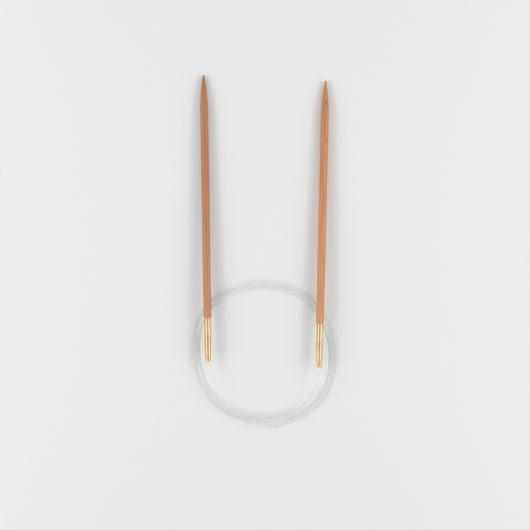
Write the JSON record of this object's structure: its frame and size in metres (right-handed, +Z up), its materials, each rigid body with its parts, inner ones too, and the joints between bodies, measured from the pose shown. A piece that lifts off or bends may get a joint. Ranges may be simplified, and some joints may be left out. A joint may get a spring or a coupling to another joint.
{
  "type": "circular knitting needle",
  "caption": "Circular knitting needle with bamboo tips, swivelling brass joints and a coiled clear nylon cord, laid flat with both points the same way.",
  "frame": {"origin": "on the surface that the needle lies on, under the middle of the two rigid tips (shafts, ferrules, sleeves and rivets)", "axes": "+Y along the tips towards the points, +X from the left tip to the right, +Z up from the surface"},
  "size_m": [0.0719, 0.1745, 0.0069],
  "materials": {
    "bamboo": "satin, fine lengthwise fibre",
    "gold_brass": "polished gold-coloured plating",
    "rivet_steel": "plain turned steel",
    "clear_nylon": "clear, slightly milky, glossy"
  },
  "bodies": {
    "cord": {"cord_lead_left": "clear_nylon", "cord_coil": "clear_nylon", "cord_lead_right": "clear_nylon", "left_swivel_sleeve": "gold_brass", "left_swivel_rivet": "rivet_steel", "right_swivel_sleeve": "gold_brass", "right_swivel_rivet": "rivet_steel"},
    "left_tip": {"left_bamboo_shaft": "bamboo", "left_ferrule": "gold_brass"},
    "right_tip": {"right_bamboo_shaft": "bamboo", "right_ferrule": "gold_brass"}
  },
  "joints": [
    {"name": "left_swivel", "type": "hinge", "parent": "cord", "child": "left_tip", "pos_m": [-0.02787, -0.05782, 0.00515], "axis": [-0.0174, 0.9995, -0.028], "continuous": true},
    {"name": "right_swivel", "type": "hinge", "parent": "cord", "child": "right_tip", "pos_m": [0.0271, -0.06061, 0.00515], "axis": [0.0244, 0.9993, -0.028], "continuous": true}
  ]
}
